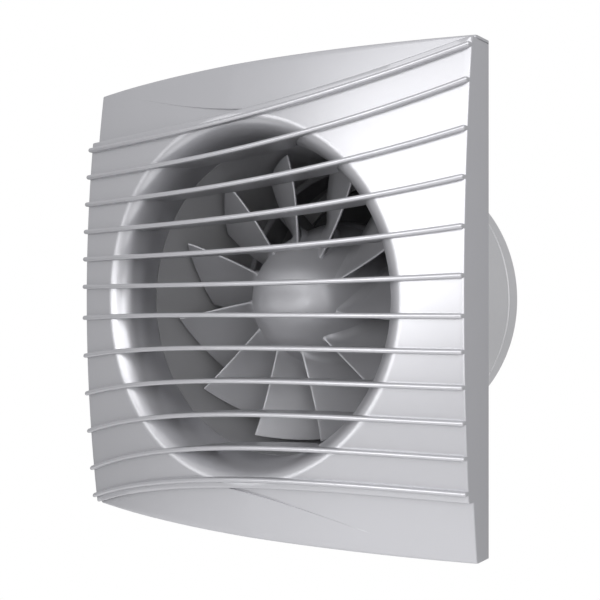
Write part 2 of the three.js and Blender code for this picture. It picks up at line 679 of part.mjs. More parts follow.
// A rubber ring in the cable inlet, with a flange on the plate's front and a neck towards the clamp.
function makeGrommet() {
  const plateFront = -PLATE_THICK - GAP;
  const flange = CABLE_RADIUS + 1.6;
  const grommet = turned([[GROMMET_BORE, GROMMET_FRONT], [CABLE_RADIUS - 1.2, GROMMET_FRONT],
    [flange, plateFront - 1.1], [flange, plateFront], [CABLE_RADIUS - GAP, plateFront],
    [CABLE_RADIUS - GAP, -GAP], [GROMMET_BORE, -GAP]], 24);
  return grommet.translate(CABLE_X, 0, CABLE_Z);
}

addPart('cable_grommet', makeGrommet(), rubberBlack);

// The strap that grips the mains cable where it comes through the plate.
function makeClamp() {
  const arch = new THREE.Shape();
  arch.moveTo(-STRAP_HALF, 0);
  arch.lineTo(-STRAP_HALF, STRAP_THICK);
  arch.lineTo(-ARCH_OUTER, STRAP_THICK);
  arch.absarc(0, STRAP_THICK, ARCH_OUTER, Math.PI, 0, true);
  arch.lineTo(STRAP_HALF, STRAP_THICK);
  arch.lineTo(STRAP_HALF, 0);
  arch.lineTo(ARCH_INNER, 0);
  arch.lineTo(ARCH_INNER, STRAP_THICK);
  arch.absarc(0, STRAP_THICK, ARCH_INNER, 0, Math.PI, false);
  arch.lineTo(-ARCH_INNER, 0);
  const settings = { depth: STRAP_WIDTH, bevelEnabled: false, curveSegments: 8 };
  const strap = new THREE.ExtrudeGeometry(arch, settings);
  strap.rotateX(Math.PI).translate(CLAMP_X, -PLATE_THICK - GAP, CLAMP_Z);
  const holes = [-1, 1].map((side) => {
    const hole = disc(STRAP_SCREW_RADIUS + GAP, -8, 0, 10);
    return hole.translate(CLAMP_X + side * CLAMP_SCREW, 0, CLAMP_Z - STRAP_WIDTH / 2);
  });
  return cut(strap, ...holes);
}

addPart('cable_clamp', makeClamp(), whiteNylon);
[-1, 1].forEach((side, i) => {
  const seat = -PLATE_THICK - STRAP_THICK - 2 * GAP;
  const screw = panScrew(0, 0, seat, STRAP_THICK + GAP, STRAP_SCREW_RADIUS, 2.2, 1.5);
  screw.translate(CLAMP_X + side * CLAMP_SCREW, 0, CLAMP_Z - STRAP_WIDTH / 2);
  addPart(`cable_clamp_screw_${i + 1}`, screw, steel);
});

// ---------- back-draught valve ----------
function makeCollar() {
  const front = TUBE_END + GAP;
  const body = turned([[SEAT_RADIUS, front], [TUBE_OUTER - 0.6, front], [TUBE_OUTER, front + 0.6],
    [TUBE_OUTER, COLLAR_END - 0.8], [TUBE_OUTER - 0.8, COLLAR_END], [TUBE_INNER - 0.5, COLLAR_END],
    [TUBE_INNER - 0.5, SEAT_END], [SEAT_RADIUS, SEAT_END]]);
  const bar = box(-BAR_HALF, BAR_HALF, front, SEAT_END, -SEAT_RADIUS - 1, SEAT_RADIUS + 1);
  const bosses = [-1, 1].map((side) => {
    const boss = box(-PIN_BOSS_HALF, PIN_BOSS_HALF, SEAT_END + 1, COLLAR_END - 1, -1.3, 1.3);
    return boss.translate(0, 0, side * (TUBE_INNER - 1.6));
  });
  const bore = new THREE.CylinderGeometry(PIN_RADIUS + GAP, PIN_RADIUS + GAP, PIN_LENGTH + 0.8, 16);
  bore.rotateX(Math.PI / 2).translate(0, PIN_Y, 0);
  return cut(join(body, bar, ...bosses), bore);
}

addPart('valve_collar', makeCollar(), silver);

const hingePin = new THREE.CylinderGeometry(PIN_RADIUS, PIN_RADIUS, PIN_LENGTH, 16);
addPart('valve_pin', hingePin.rotateX(Math.PI / 2).translate(0, PIN_Y, 0), steel);

// A half-disc flap on one side of the pin: side is 1 for the right-hand flap, -1 for the left.
function makeFlap(side, knuckles) {
  const outline = new THREE.Shape();
  const edge = Math.acos(FLAP_INNER / FLAP_RADIUS);
  outline.moveTo(FLAP_INNER, -FLAP_RADIUS * Math.sin(edge));
  outline.absarc(0, 0, FLAP_RADIUS, -edge, edge);
  const leaf = plate(outline, FLAP_Y, FLAP_Y + FLAP_THICK, 12);
  const reach = KNUCKLE_LENGTH / 2;
  const barrels = knuckles.flatMap((z) => {
    const barrel = new THREE.CylinderGeometry(KNUCKLE_RADIUS, KNUCKLE_RADIUS, KNUCKLE_LENGTH, 16);
    const web = box(0, FLAP_INNER + 3, FLAP_Y, FLAP_Y + FLAP_THICK + 0.4, z - reach, z + reach);
    return [barrel.rotateX(Math.PI / 2).translate(0, PIN_Y, z), web];
  });
  const bore = new THREE.CylinderGeometry(PIN_RADIUS + GAP, PIN_RADIUS + GAP, SIDE, 16);
  const flap = cut(join(leaf, ...barrels), bore.rotateX(Math.PI / 2).translate(0, PIN_Y, 0));
  return side > 0 ? flap : facingOut(flap.scale(-1, 1, 1));
}

// A torsion spring round the hinge pin, with one leg lying on the back of its flap.
class SpringPath extends THREE.Curve {
  getPoint(t, target = new THREE.Vector3()) {
    const legShare = 0.2;
    if (t < legShare) {
      const out = 1 - t / legShare;
      return target.set(SPRING_RADIUS + SPRING_LEG * out, -0.6 * out, 0);
    }
    const wound = (t - legShare) / (1 - legShare);
    const angle = wound * SPRING_TURNS * Math.PI * 2;
    const [x, y] = [SPRING_RADIUS * Math.cos(angle), SPRING_RADIUS * Math.sin(angle)];
    return target.set(x, y, wound * SPRING_LENGTH);
  }
}

function makeSpring(side) {
  const section = new THREE.Shape();
  section.absarc(0, 0, SPRING_WIRE, 0, Math.PI * 2);
  const wire = new THREE.ExtrudeGeometry(section, {
    steps: 32, extrudePath: new SpringPath(), bevelEnabled: false, curveSegments: 2,
  });
  const spring = toGeometry(toSolid(wire)).translate(0, PIN_Y, 3);
  return side > 0 ? spring : facingOut(spring.rotateX(Math.PI).translate(0, 2 * PIN_Y, 0).scale(-1, 1, 1));
}

[['right', 1, [-34, 22]], ['left', -1, [-22, 34]]].forEach(([name, side, knuckles]) => {
  addPart(`valve_flap_${name}`, makeFlap(side, knuckles), charcoal);
  addPart(`valve_spring_${name}`, makeSpring(side), steel);
});

export default fan;
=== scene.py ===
import json
import math

import bmesh
import bpy
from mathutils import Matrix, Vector


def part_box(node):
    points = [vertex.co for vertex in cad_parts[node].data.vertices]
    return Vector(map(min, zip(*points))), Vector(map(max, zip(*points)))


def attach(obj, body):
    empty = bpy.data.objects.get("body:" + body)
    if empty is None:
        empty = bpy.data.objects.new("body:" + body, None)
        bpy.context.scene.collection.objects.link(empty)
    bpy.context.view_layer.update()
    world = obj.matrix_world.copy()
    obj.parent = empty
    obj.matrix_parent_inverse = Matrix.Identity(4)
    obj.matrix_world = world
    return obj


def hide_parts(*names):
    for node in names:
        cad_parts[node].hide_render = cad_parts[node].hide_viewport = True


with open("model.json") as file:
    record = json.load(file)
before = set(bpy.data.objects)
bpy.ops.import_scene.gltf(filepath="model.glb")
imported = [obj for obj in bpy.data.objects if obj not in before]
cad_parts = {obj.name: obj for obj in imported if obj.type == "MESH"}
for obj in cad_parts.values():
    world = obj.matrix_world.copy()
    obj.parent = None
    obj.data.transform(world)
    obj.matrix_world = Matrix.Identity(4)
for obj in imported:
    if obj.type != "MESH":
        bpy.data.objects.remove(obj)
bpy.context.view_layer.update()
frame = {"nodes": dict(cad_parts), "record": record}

# ---------- driving dimensions, in millimetres; +X right, +Y into the wall, +Z up ----------
MM = 0.001
HALF = round(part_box("front_cover")[1].x / MM, 3)
EDGE_DEPTH = 13.1
CROWN_X = 13.9
CROWN_Z = 6.5
CROWN_XZ = 1.0
STEP = 3.6
STEP_ABOVE_LOUVRE = 3.5
COVER_WALL = 2.4
EDGE_ROUND = 0.6
ROUND_ANGLES = (0, 30, 55, 75)     # places round a rounded edge, in degrees
LIP_RADIUS = 69.8
LIP_END = -13.0
LIP_SOFTNESS = 1.1          # 1 is a plain ellipse; more starts the curve more gently
THROAT_RADIUS = 61.2
THROAT_WALL = 2.2
THROAT_END = -6.3
CREASE_TIP = 6.0            # where the fold in a margin meets the step, from the middle
CREASE_START = -62.0        # where the fold fades out
CREASE_HEIGHT = 1.0
CREASE_FULL = CREASE_TIP - 10.0    # where the fold has its full height
CREASE_RUN = 67.0            # how far the fold runs across, from its tip
CREASE_SLOPE = 0.66          # how fast the fold climbs from the step towards the cover's edge
CREASE_BEND = 0.08
CREASE_LIMIT = 0.96
CREASE_FADE = 2
FOLD_WIDTH = 0.15            # width of the fold's slope
FOLD_MARGIN = 0.2            # width of the narrow rows on either side of the slope
FIELD_ROWS = 22              # rows of the raised face, closer together towards the lip
FIELD_CROWDING = 1.2
TURN_APART = 1e-6            # radians; directions nearer than this are the same
SAME = 1e-4                  # places nearer than this are the same
NEAR = 1e-3

LOUVRES = 12
INNER_CURVE = 3.41          # power of the innermost louvre's rise towards its right-hand end
CURVE_DROP = 0.156          # how much that power drops at each louvre outwards
SAG_PER_LOUVRE = 0.22
LEFT_PITCH = 11.92
RIGHT_PITCH = 16.47
LEFT_INNER = 5.5
RIGHT_INNER = 8.0
RIGHT_OUTER = 86.0
BEAD_PROUD = 2.5
BEAD_HALF = 0.95
FIN_DEPTH = 15.5
FIN_ROOT_HALF = 0.7
FIN_TIP_HALF = 0.5
BEAD_SHOULDER = 2.6          # where the bead's sides end, behind its front
BEAD_NECK = 3.4              # where the fin starts, behind the bead's front
FIN_EMBED = 0.5              # how far a louvre goes into the surface under it
LOUVRE_INSETS = (0.0, 0.12, 0.4, 0.9)      # sections in a louvre's rounded ends
LOUVRE_ROUND = 0.9           # length of a louvre's rounded end
LOUVRE_END_SIZE = 0.45       # thickness of a louvre's tip, as a share of its full thickness
LOUVRE_END_SET_BACK = 1.2    # how far a louvre's tip is set back, for each unit of thickness it has lost

TUBE_OUTER = 62.2
TUBE_INNER = 60.7
TUBE_FRONT = -6.0
LEAD_IN_END = 5.0           # where the tube's lead-in has narrowed to its bore
TUBE_END = 82.2
COLLAR_END = 92.0
PLATE_THICK = 2.5
PLATE_GAP = 0.3              # between the wall plate and the tube's flange
THROAT_LAP = 0.05            # how far the tube's front end laps inside the throat's radius
FLANGE_WIDTH = 5.0
FLANGE_THICK = 2.0
TUBE_CHAMFER = 0.5
TUBE_SEGMENTS = 192

BLADES = 11
BLADE_TIP = 58.3
LEAD_ROOT_Y = 9.7
LEAD_TIP_Y = 5.4
TRAIL_ROOT_Y = 35.0
TRAIL_TIP_Y = 29.5
LEAD_ANGLE = 83.0
LEAD_SWEEP = 7.0
CHORD_ROOT_TURN = 38.0
CHORD_TIP_TURN = 26.5
BLADE_EDGE_HALF = 0.45      # half the thickness of a blade at its edges
BLADE_EMBED = 1.2
FILLET = 4.0                # radius of the blend between a blade and the hub
EDGE_PROUD = 0.3            # how far the rounded leading edge stands ahead of the blade's faces
BLADE_BULGE = 0.35           # extra half thickness in the middle of a blade
TINY = 1e-3                  # share of a blade used to measure its slopes
HUB_RADIUS = 32.5
HUB_NOSE = 1.5
HUB_END = 39.0
HUB_CURVE = 0.28            # power of the hub's flare from its nose to its rear rim
HUB_WALL = 2.4
BOSS_RADIUS = 7.5
BUSH_BORE = 4.9
HUB_EDGE = 0.4               # chamfer round the hub's rear rim
NOSE_WALL = 1.4              # wall at the hub's nose, in wall thicknesses

POD_OUTER = 34.0            # motor housing
POD_INNER = 32.0
POD_FRONT = 43.0
POD_FLOOR = 45.2
POD_END = 78.0
POD_EYE = 7.0
LUG_X = 29.0
LUG_RADIUS = 3.5
LUG_BORE = 1.8
RING_OUTER = 60.4
RING_INNER = 57.6
RING_FRONT = 56.0
RING_END = 72.0
ARMS = 4
ARM_HALF = 1.3
ARM_ROOT = POD_INNER + 0.5
ARM_TIP = RING_INNER + 1.0
ARM_FRONT = RING_FRONT - 2.0
ARM_END = RING_END + 1.0
RING_CHAMFER = 0.6
POD_CORNER = 3.0
LUG_LENGTH = 8.0

SEAT_RADIUS = 54.5          # back-draught valve
SEAT_END = 84.4
COLLAR_FRONT = 82.5
COLLAR_BORE = 60.2
FRONT_CHAMFER = 0.4
END_CHAMFER = 0.8
BAR_HALF = 4.2
BAR_REACH = SEAT_RADIUS + 0.5
PIN_BOSS_HALF = 3.2
PIN_BOSS_LOW = 57.8
PIN_BOSS_HIGH = COLLAR_BORE + 0.1
PIN_BOSS_FRONT = SEAT_END + 1.0
PIN_BOSS_END = COLLAR_END - 1.0
PIN_Y = 88.0
PIN_RADIUS = 1.5
PIN_LENGTH = 117.6
PIN_SEGMENTS = 40
FLAP_RADIUS = 56.8
FLAP_FRONT = 84.9
FLAP_THICK = 1.2
FLAP_INNER = 3.2
RIB_HALF = 0.5
RIB_HEIGHT = 0.9
RIB_ANGLES = (-50.0, 0.0, 50.0)
RIB_START = 6.0              # from the flap's straight edge
RIB_END = 4.0                # from the flap's round edge
RIM_INSETS = (1.6, 2.6)      # sides of the raised rim, from the flap's round edge
RIM_END = 0.06               # radians that the rim stops short of each corner
FLAP_EMBED = 0.1             # how far ribs and rim go into the leaf
KNUCKLE_RADIUS = 2.7
KNUCKLE_BORE = 1.7
KNUCKLE_LENGTH = 8.0
WEB_REACH = FLAP_INNER + 3.0
WEB_INSET = 0.05             # how much shorter a web is than its knuckle, at each end
KNUCKLES = {"right": (-34.0, 22.0), "left": (-22.0, 34.0)}
SPRING_RADIUS = 2.5
SPRING_WIRE = 0.32
SPRING_TURNS = 4
SPRING_LENGTH = 6.0
SPRING_LEG = 9.0
SPRING_START = 3.0
SPRING_DROP = 1.5            # how far the leg comes down to the flap

AMBIENT = 0.44
AMBIENT_SLOPE = (0.04, -0.08, 0.3)     # how much brighter it is towards +X, +Y and +Z
LIGHT_DISTANCE = 1.5        # metres, like the sizes below
LIGHTS = {                  # degrees to the right of straight ahead, degrees up, size, watts
    "key": (22.0, 15.5, (2.3, 0.9), 16.0),
    "low_strip": (-16.0, 3.0, (1.2, 0.35), 4.6),
    "side_light": (72.0, 10.0, (1.2, 1.0), 7.0),
}
WORLD_COLOUR = (0.98, 0.98, 1.0, 1.0)
WHITE = (1.0, 1.0, 1.0, 1.0)
FLOOR_RADIUS = 1150.0
FLOOR_LEVEL = -500.0
FLOOR_THICK = 10.0
FLOOR_SEGMENTS = 96
CAMERA_PLACE = (0.2366, -0.3241, 0.0)      # metres
CAMERA_TURN = 35.38          # degrees to the right of straight ahead
CAMERA_LENS = 60.24
CAMERA_SENSOR = 36.0
CAMERA_SHIFT = (0.012, -0.0008)
CAMERA_NEAR = 0.01


# ---------- mesh making ----------
MERGE = 0.004                # points nearer than this become one
BEVEL_ANGLE = 35             # degrees; sharper edges are softened


class Skin:
    """Points in millimetres and faces gathered for one piece; equal points are merged at the end."""

    def __init__(self):
        self.points = []
        self.faces = []

    def grid(self, rows, closed=False):
        """Quads between rows of equal length; closed joins each row's end to its start."""
        width = len(rows[0])
        start = len(self.points)
        for row in rows:
            self.points.extend(row)
        columns = width if closed else width - 1
        for r in range(len(rows) - 1):
            for c in range(columns):
                a = start + r * width + c
                b = start + r * width + (c + 1) % width
                self.faces.append((a, b, b + width, a + width))

    def cap(self, ring):
        start = len(self.points)
        self.points.extend(ring)
        self.faces.append(tuple(range(start, start + len(ring))))

    def tube(self, rings):
        """A closed skin over rings, capped at both ends."""
        self.grid(rings, closed=True)
        self.cap(rings[0])
        self.cap(rings[-1])

    def turned(self, profile, segments=128, centre=(0.0, 0.0), axis="y"):
        """Revolves a closed outline of (radius, along) corners about an axis along Y or Z."""
        rows = []
        for i in range(segments):
            turn = 2 * math.pi * i / segments
            ring = []
            for radius, along in profile:
                u = radius * math.cos(turn)
                v = radius * math.sin(turn)
                if axis == "y":
                    ring.append((centre[0] + u, along, centre[1] + v))
                else:
                    ring.append((centre[0] + u, centre[1] + v, along))
            rows.append(ring)
        rows.append(rows[0])
        self.grid([row + [row[0]] for row in rows])

    def box(self, low, high, turn=0.0):
        """A box, turned about Y by turn radians."""
        rings = []
        for y in (low[1], high[1]):
            corners = [(low[0], low[2]), (high[0], low[2]), (high[0], high[2]), (low[0], high[2])]
            ring = []
            for x, z in corners:
                turned_x = x * math.cos(turn) - z * math.sin(turn)
                turned_z = x * math.sin(turn) + z * math.cos(turn)
                ring.append((turned_x, y, turned_z))
            rings.append(ring)
        self.tube(rings)

    def build(self, name, material, sharp=32.0):
        """Builds the object, smooth except where faces meet at more than sharp degrees."""
        mesh = bpy.data.meshes.new(name)
        work = bmesh.new()
        verts = [work.verts.new(Vector(p) * MM) for p in self.points]
        for face in self.faces:
            corners = [verts[i] for i in face]
            try:
                work.faces.new(corners)
            except ValueError:
                continue
        bmesh.ops.remove_doubles(work, verts=work.verts, dist=MERGE * MM)
        bmesh.ops.dissolve_degenerate(work, edges=work.edges, dist=MERGE / 2 * MM)
        bmesh.ops.recalc_face_normals(work, faces=work.faces)
        for face in work.faces:
            face.smooth = True
        limit = math.radians(sharp)
        for edge in work.edges:
            if len(edge.link_faces) == 2:
                edge.smooth = edge.calc_face_angle(0.0) < limit
        work.to_mesh(mesh)
        work.free()
        piece = bpy.data.objects.new(name, mesh)
        bpy.context.scene.collection.objects.link(piece)
        piece.data.materials.append(material)
        return piece

    def make(self, name, body, material, replaces=(), sharp=32.0, bevel=0.0):
        """Builds the object and fastens it to a body, in place of the nodes it stands for."""
        piece = self.build(name, material, sharp)
        if bevel:
            add_bevel(piece, bevel)
        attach(piece, body)
        if replaces:
            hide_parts(*replaces)
        return piece


def add_bevel(piece, width):
    bevel = piece.modifiers.new("soft_edges", "BEVEL")
    bevel.width = width * MM
    bevel.segments = 2
    bevel.limit_method = "ANGLE"
    bevel.angle_limit = math.radians(BEVEL_ANGLE)
    bevel.harden_normals = True


def spread(low, high, steps):
    """Evenly spaced values from low to high, both included."""
    return [low + (high - low) * i / steps for i in range(steps + 1)]


# ---------- materials ----------
TONE_SPREAD = 0.035          # plastics: tone and roughness either side of their middle values
ROUGH_SPREAD = 0.08
SLOW_NOISE = 14.0
COAT_ROUGHNESS = 0.25
METAL_DARK = 0.9             # metals: tone in the lines' hollows
METAL_ROUGH_SPREAD = 0.2
BAND_ROUGH_SPREAD = 0.15
FINE_RELIEF = 0.00002        # metres, like the depths below
BAND_RELIEF = 0.0001
NOISE_LOW = 0.3              # the part of the noise's range that is used
NOISE_HIGH = 0.7
MIX_FIRST, MIX_SECOND = 6, 7     # a mix node's two colour sockets
MIX_COLOUR = 2                   # and its colour result


def new_material(name, slot):
    material = bpy.data.materials.new(name)
    material.use_nodes = True
    material["slot"] = slot
    nodes = material.node_tree.nodes
    return material, nodes, material.node_tree.links, nodes["Principled BSDF"]


def noise(nodes, links, coords, scale, detail=4.0):
    texture = nodes.new("ShaderNodeTexNoise")
    texture.inputs["Scale"].default_value = scale
    texture.inputs["Detail"].default_value = detail
    links.new(coords.outputs["Object"], texture.inputs["Vector"])
    return texture


def ramp(nodes, links, value, low, high):
    """Maps a 0..1 noise value to low..high."""
    change = nodes.new("ShaderNodeMapRange")
    change.inputs["From Min"].default_value = NOISE_LOW
    change.inputs["From Max"].default_value = NOISE_HIGH
    change.inputs["To Min"].default_value = low
    change.inputs["To Max"].default_value = high
    links.new(value, change.inputs["Value"])
    return change.outputs["Result"]


def tint(nodes, links, value, dark, light):
    mix = nodes.new("ShaderNodeMix")
    mix.data_type = "RGBA"
    mix.inputs[MIX_FIRST].default_value = (*dark, 1.0)
    mix.inputs[MIX_SECOND].default_value = (*light, 1.0)
    links.new(value, mix.inputs["Factor"])
    return mix.outputs[MIX_COLOUR]


def bump(nodes, links, value, strength, distance, shader):
    relief = nodes.new("ShaderNodeBump")
    relief.inputs["Strength"].default_value = strength
    relief.inputs["Distance"].default_value = distance
    links.new(value, relief.inputs["Height"])
    links.new(relief.outputs["Normal"], shader.inputs["Normal"])


def moulded(name, slot, colour, roughness, metallic=0.0, grain=900.0, depth=FINE_RELIEF, coat=0.0):
    """Moulded plastic: a slow tone drift, a fine grain, and roughness that varies with the grain."""
    material, nodes, links, shader = new_material(name, slot)
    coords = nodes.new("ShaderNodeTexCoord")
    slow = noise(nodes, links, coords, SLOW_NOISE, 2.0)
    fine = noise(nodes, links, coords, grain, 3.0)
    dark = [c * (1 - TONE_SPREAD) for c in colour]
    light = [min(1.0, c * (1 + TONE_SPREAD)) for c in colour]
    links.new(tint(nodes, links, slow.outputs["Fac"], dark, light), shader.inputs["Base Color"])
    smooth, rough = roughness * (1 - ROUGH_SPREAD), roughness * (1 + ROUGH_SPREAD)
    links.new(ramp(nodes, links, fine.outputs["Fac"], smooth, rough), shader.inputs["Roughness"])
    shader.inputs["Metallic"].default_value = metallic
    shader.inputs["Coat Weight"].default_value = coat
    shader.inputs["Coat Roughness"].default_value = COAT_ROUGHNESS
    bump(nodes, links, fine.outputs["Fac"], 0.25, depth, shader)
    return material


def machined(name, slot, colour, roughness, stretch=(1.0, 40.0, 1.0), grain=300.0):
    """Bare metal with fine turned or drawn lines."""
    material, nodes, links, shader = new_material(name, slot)
    coords = nodes.new("ShaderNodeTexCoord")
    mapping = nodes.new("ShaderNodeMapping")
    mapping.inputs["Scale"].default_value = stretch
    links.new(coords.outputs["Object"], mapping.inputs["Vector"])
    lines = nodes.new("ShaderNodeTexNoise")
    lines.inputs["Scale"].default_value = grain
    links.new(mapping.outputs["Vector"], lines.inputs["Vector"])
    dark = [c * METAL_DARK for c in colour]
    links.new(tint(nodes, links, lines.outputs["Fac"], dark, colour), shader.inputs["Base Color"])
    smooth, rough = roughness * (1 - METAL_ROUGH_SPREAD), roughness * (1 + METAL_ROUGH_SPREAD)
    links.new(ramp(nodes, links, lines.outputs["Fac"], smooth, rough), shader.inputs["Roughness"])
    shader.inputs["Metallic"].default_value = 1.0
    bump(nodes, links, lines.outputs["Fac"], 0.15, FINE_RELIEF, shader)
    return material


def banded(name, slot, colour, gap_colour, pitch, roughness, metallic, axis):
    """Stacked sheets or wound turns: a light band and a dark one take two pitches along the axis."""
    material, nodes, links, shader = new_material(name, slot)
    coords = nodes.new("ShaderNodeTexCoord")
    wave = nodes.new("ShaderNodeTexWave")
    wave.bands_direction = axis
    wave.inputs["Scale"].default_value = math.pi / 20 / (pitch * MM)
    wave.inputs["Distortion"].default_value = 0.3
    links.new(coords.outputs["Object"], wave.inputs["Vector"])
    links.new(tint(nodes, links, wave.outputs["Fac"], gap_colour, colour), shader.inputs["Base Color"])
    rough, smooth = roughness * (1 + BAND_ROUGH_SPREAD), roughness * (1 - BAND_ROUGH_SPREAD)
    links.new(ramp(nodes, links, wave.outputs["Fac"], rough, smooth), shader.inputs["Roughness"])
    shader.inputs["Metallic"].default_value = metallic
    bump(nodes, links, wave.outputs["Fac"], 0.5, BAND_RELIEF, shader)
    return material


silver = moulded("silver_plastic", "silver_plastic", (0.48, 0.48, 0.5), 0.33, metallic=0.6, coat=0.1)
# painted light: a lighter, less metallic copy of the silver plastic, so the duct tube and valve collar
# look more brightly lit than the cover
silver_painted_lit = moulded("silver_plastic_painted_lit", "silver_plastic", (0.47, 0.47, 0.48), 0.45, metallic=0.25)
blade_silver = moulded("blade_plastic", "blade_plastic", (0.42, 0.42, 0.44), 0.38, metallic=0.35)
grey = moulded("grey_plastic", "grey_plastic", (0.28, 0.28, 0.295), 0.5, metallic=0.1, grain=1400.0,
               depth=0.00004)
charcoal = moulded("charcoal_plastic", "charcoal_plastic", (0.12, 0.12, 0.125), 0.55)
nylon = moulded("white_nylon", "white_nylon", (0.78, 0.78, 0.73), 0.45)
rubber = moulded("black_rubber", "black_rubber", (0.02, 0.02, 0.021), 0.75, grain=1800.0, depth=0.00005)
steel = machined("steel", "steel", (0.62, 0.63, 0.65), 0.28)
cast = machined("cast_aluminium", "cast_aluminium", (0.62, 0.63, 0.64), 0.45, stretch=(1.0, 1.0, 1.0),
                grain=1200.0)
brass = machined("brass", "brass", (0.72, 0.52, 0.22), 0.3)
laminated = banded("lamination_steel", "lamination_steel", (0.36, 0.37, 0.39), (0.1, 0.1, 0.105), 0.5, 0.5,
                   0.9, "Y")
winding = banded("winding_tape", "winding_tape", (0.72, 0.5, 0.12), (0.5, 0.32, 0.06), 0.8, 0.45, 0.0, "X")
floor_paint = moulded("floor_paint", "silver_plastic", (0.9, 0.9, 0.9), 0.8, grain=60.0)


# ---------- front cover ----------
def crown(x, z):
    """How far the front stands ahead of the wall plane."""
    across = 1 - (x / HALF) ** 2
    up = 1 - (z / HALF) ** 2
    return EDGE_DEPTH + CROWN_X * across + CROWN_Z * up + CROWN_XZ * across * up


def louvre_height(k, x):
    """Height of louvre k, 1 at the top; the lower six mirror the upper six through the middle."""
    if k > LOUVRES / 2:
        return -louvre_height(LOUVRES + 1 - k, -x)
    inward = LOUVRES // 2 - k
    left = LEFT_INNER + LEFT_PITCH * inward
    right = RIGHT_OUTER if k == 1 else RIGHT_INNER + RIGHT_PITCH * inward
    share = min(1.0, max(0.0, (x + HALF) / (2 * HALF)))
    rise = (right - left) * share ** (INNER_CURVE - CURVE_DROP * inward)
    return left + rise - SAG_PER_LOUVRE * inward * (1 - (2 * share - 1) ** 2)


def step_top(x):
    """Height of the raised face's upper edge; its lower edge mirrors it through the middle."""
    return min(louvre_height(1, x) + STEP_ABOVE_LOUVRE, HALF - 1)


def round_drop(past):
    """Depth lost where a rounded edge has run past its start by this much."""
    past = min(max(past, 0.0), EDGE_ROUND)
    return EDGE_ROUND - math.sqrt(EDGE_ROUND ** 2 - past ** 2)


def edge_drop(x, z):
    return round_drop(abs(x) - HALF + EDGE_ROUND) + round_drop(abs(z) - HALF + EDGE_ROUND)


def field_depth(x, z):
    over_top = z - step_top(x) + EDGE_ROUND
    over_bottom = -z - step_top(-x) + EDGE_ROUND
    return crown(x, z) - edge_drop(x, 0) - round_drop(over_top) - round_drop(over_bottom)


def field_reach(turn):
    """How far the raised field goes from the middle in one direction."""
    cosine = math.cos(turn)
    sine = math.sin(turn)
    side = HALF / abs(cosine) if abs(cosine) > 1e-9 else 4 * HALF
    low, high = LIP_RADIUS * 0.9, min(side, 2 * HALF)

    def over(radius):
        x, z = radius * cosine, radius * sine
        return z - step_top(x) if z > 0 else -z - step_top(-x)

    if over(high) <= 0:
        return high
    for _ in range(50):
        middle = (low + high) / 2
        if over(middle) > 0:
            high = middle
        else:
            low = middle
    return high


def round_insets():
    return [EDGE_ROUND * (1 - math.sin(math.radians(a))) for a in ROUND_ANGLES]


def field_turns():
    """Directions from the middle, with the field's corners and the start of each rounded edge."""
    turns = [math.radians(a) for a in spread(-180, 180, 360)[:-1]]
    for sign in (-1, 1):
        for x in [HALF - inset for inset in round_insets()] + [HALF]:
            for end in (-1, 1):
                turns.append(math.atan2(sign * step_top(sign * end * x), end * x))
    turns.sort()
    return [t for t, following in zip(turns, turns[1:] + [math.inf]) if following - t > TURN_APART]


def margin_level(x):
    """How far the margin above the fold stands proud of the margin below it."""
    share = min(1.0, max(0.0, (x - CREASE_START) / (CREASE_FULL - CREASE_START)))
    return CREASE_HEIGHT * share ** CREASE_FADE


def crease_share(x):
    """Where the fold runs, as a share of the way from the step to the cover's edge."""
    run = max(0.0, (CREASE_TIP - x) / CREASE_RUN)
    return min(CREASE_LIMIT, CREASE_SLOPE * run + CREASE_BEND * run ** 2)


def margin_face(x, up):
    """Depth of a margin's surface, one step behind the raised face."""
    return crown(x, up) - STEP - edge_drop(x, up)


def margin_columns(edge):
    """Rows of a margin field, from the step to the outer edge, above the points of its step line."""
    columns = []
    for x, z in edge:
        side = 1 if z > 0 else -1
        height = abs(z)
        fold = height + (HALF - height) * crease_share(x * side)
        lower = [height + (fold - height) * s for s in (0, 0.25, 0.5, 0.75)]
        lower += [fold - FOLD_MARGIN, fold]
        column = [(x, -margin_face(x, up), side * up) for up in lower]
        level = margin_level(x * side)
        smooth = fold + FOLD_WIDTH + FOLD_MARGIN
        upper = [fold + FOLD_WIDTH / 2, fold + FOLD_WIDTH]
        upper += spread(smooth, HALF - EDGE_ROUND, 8)
        upper += [HALF - inset for inset in round_insets()[1:]] + [HALF]
        last = fold
        for up in upper:
            up = min(HALF, max(up, last))
            last = up
            column.append((x, -margin_face(x, up) - level, side * up))
        columns.append(column)
    return columns


def field_rows(turns):
    """Places (x, z) on the raised face, row by row from the lip out over its rounded edge."""
    reach = [field_reach(t) for t in turns]
    rows = []
    for share in spread(0, 1, FIELD_ROWS):
        run = share ** FIELD_CROWDING
        rows.append([LIP_RADIUS + (limit - EDGE_ROUND - LIP_RADIUS) * run for limit in reach])
    for inset in round_insets()[1:] + [0.0]:
        rows.append([limit - inset for limit in reach])
    return [[(r * math.cos(t), r * math.sin(t)) for r, t in zip(row, turns)] for row in rows]


def on_step(place, sign):
    """Whether an edge point of the raised face lies on the top (1) or bottom (-1) step line."""
    x, z = place
    on_side = abs(abs(x) - HALF) < SAME and abs(z) < step_top(sign * x) - NEAR
    return z * sign > 0 and not on_side


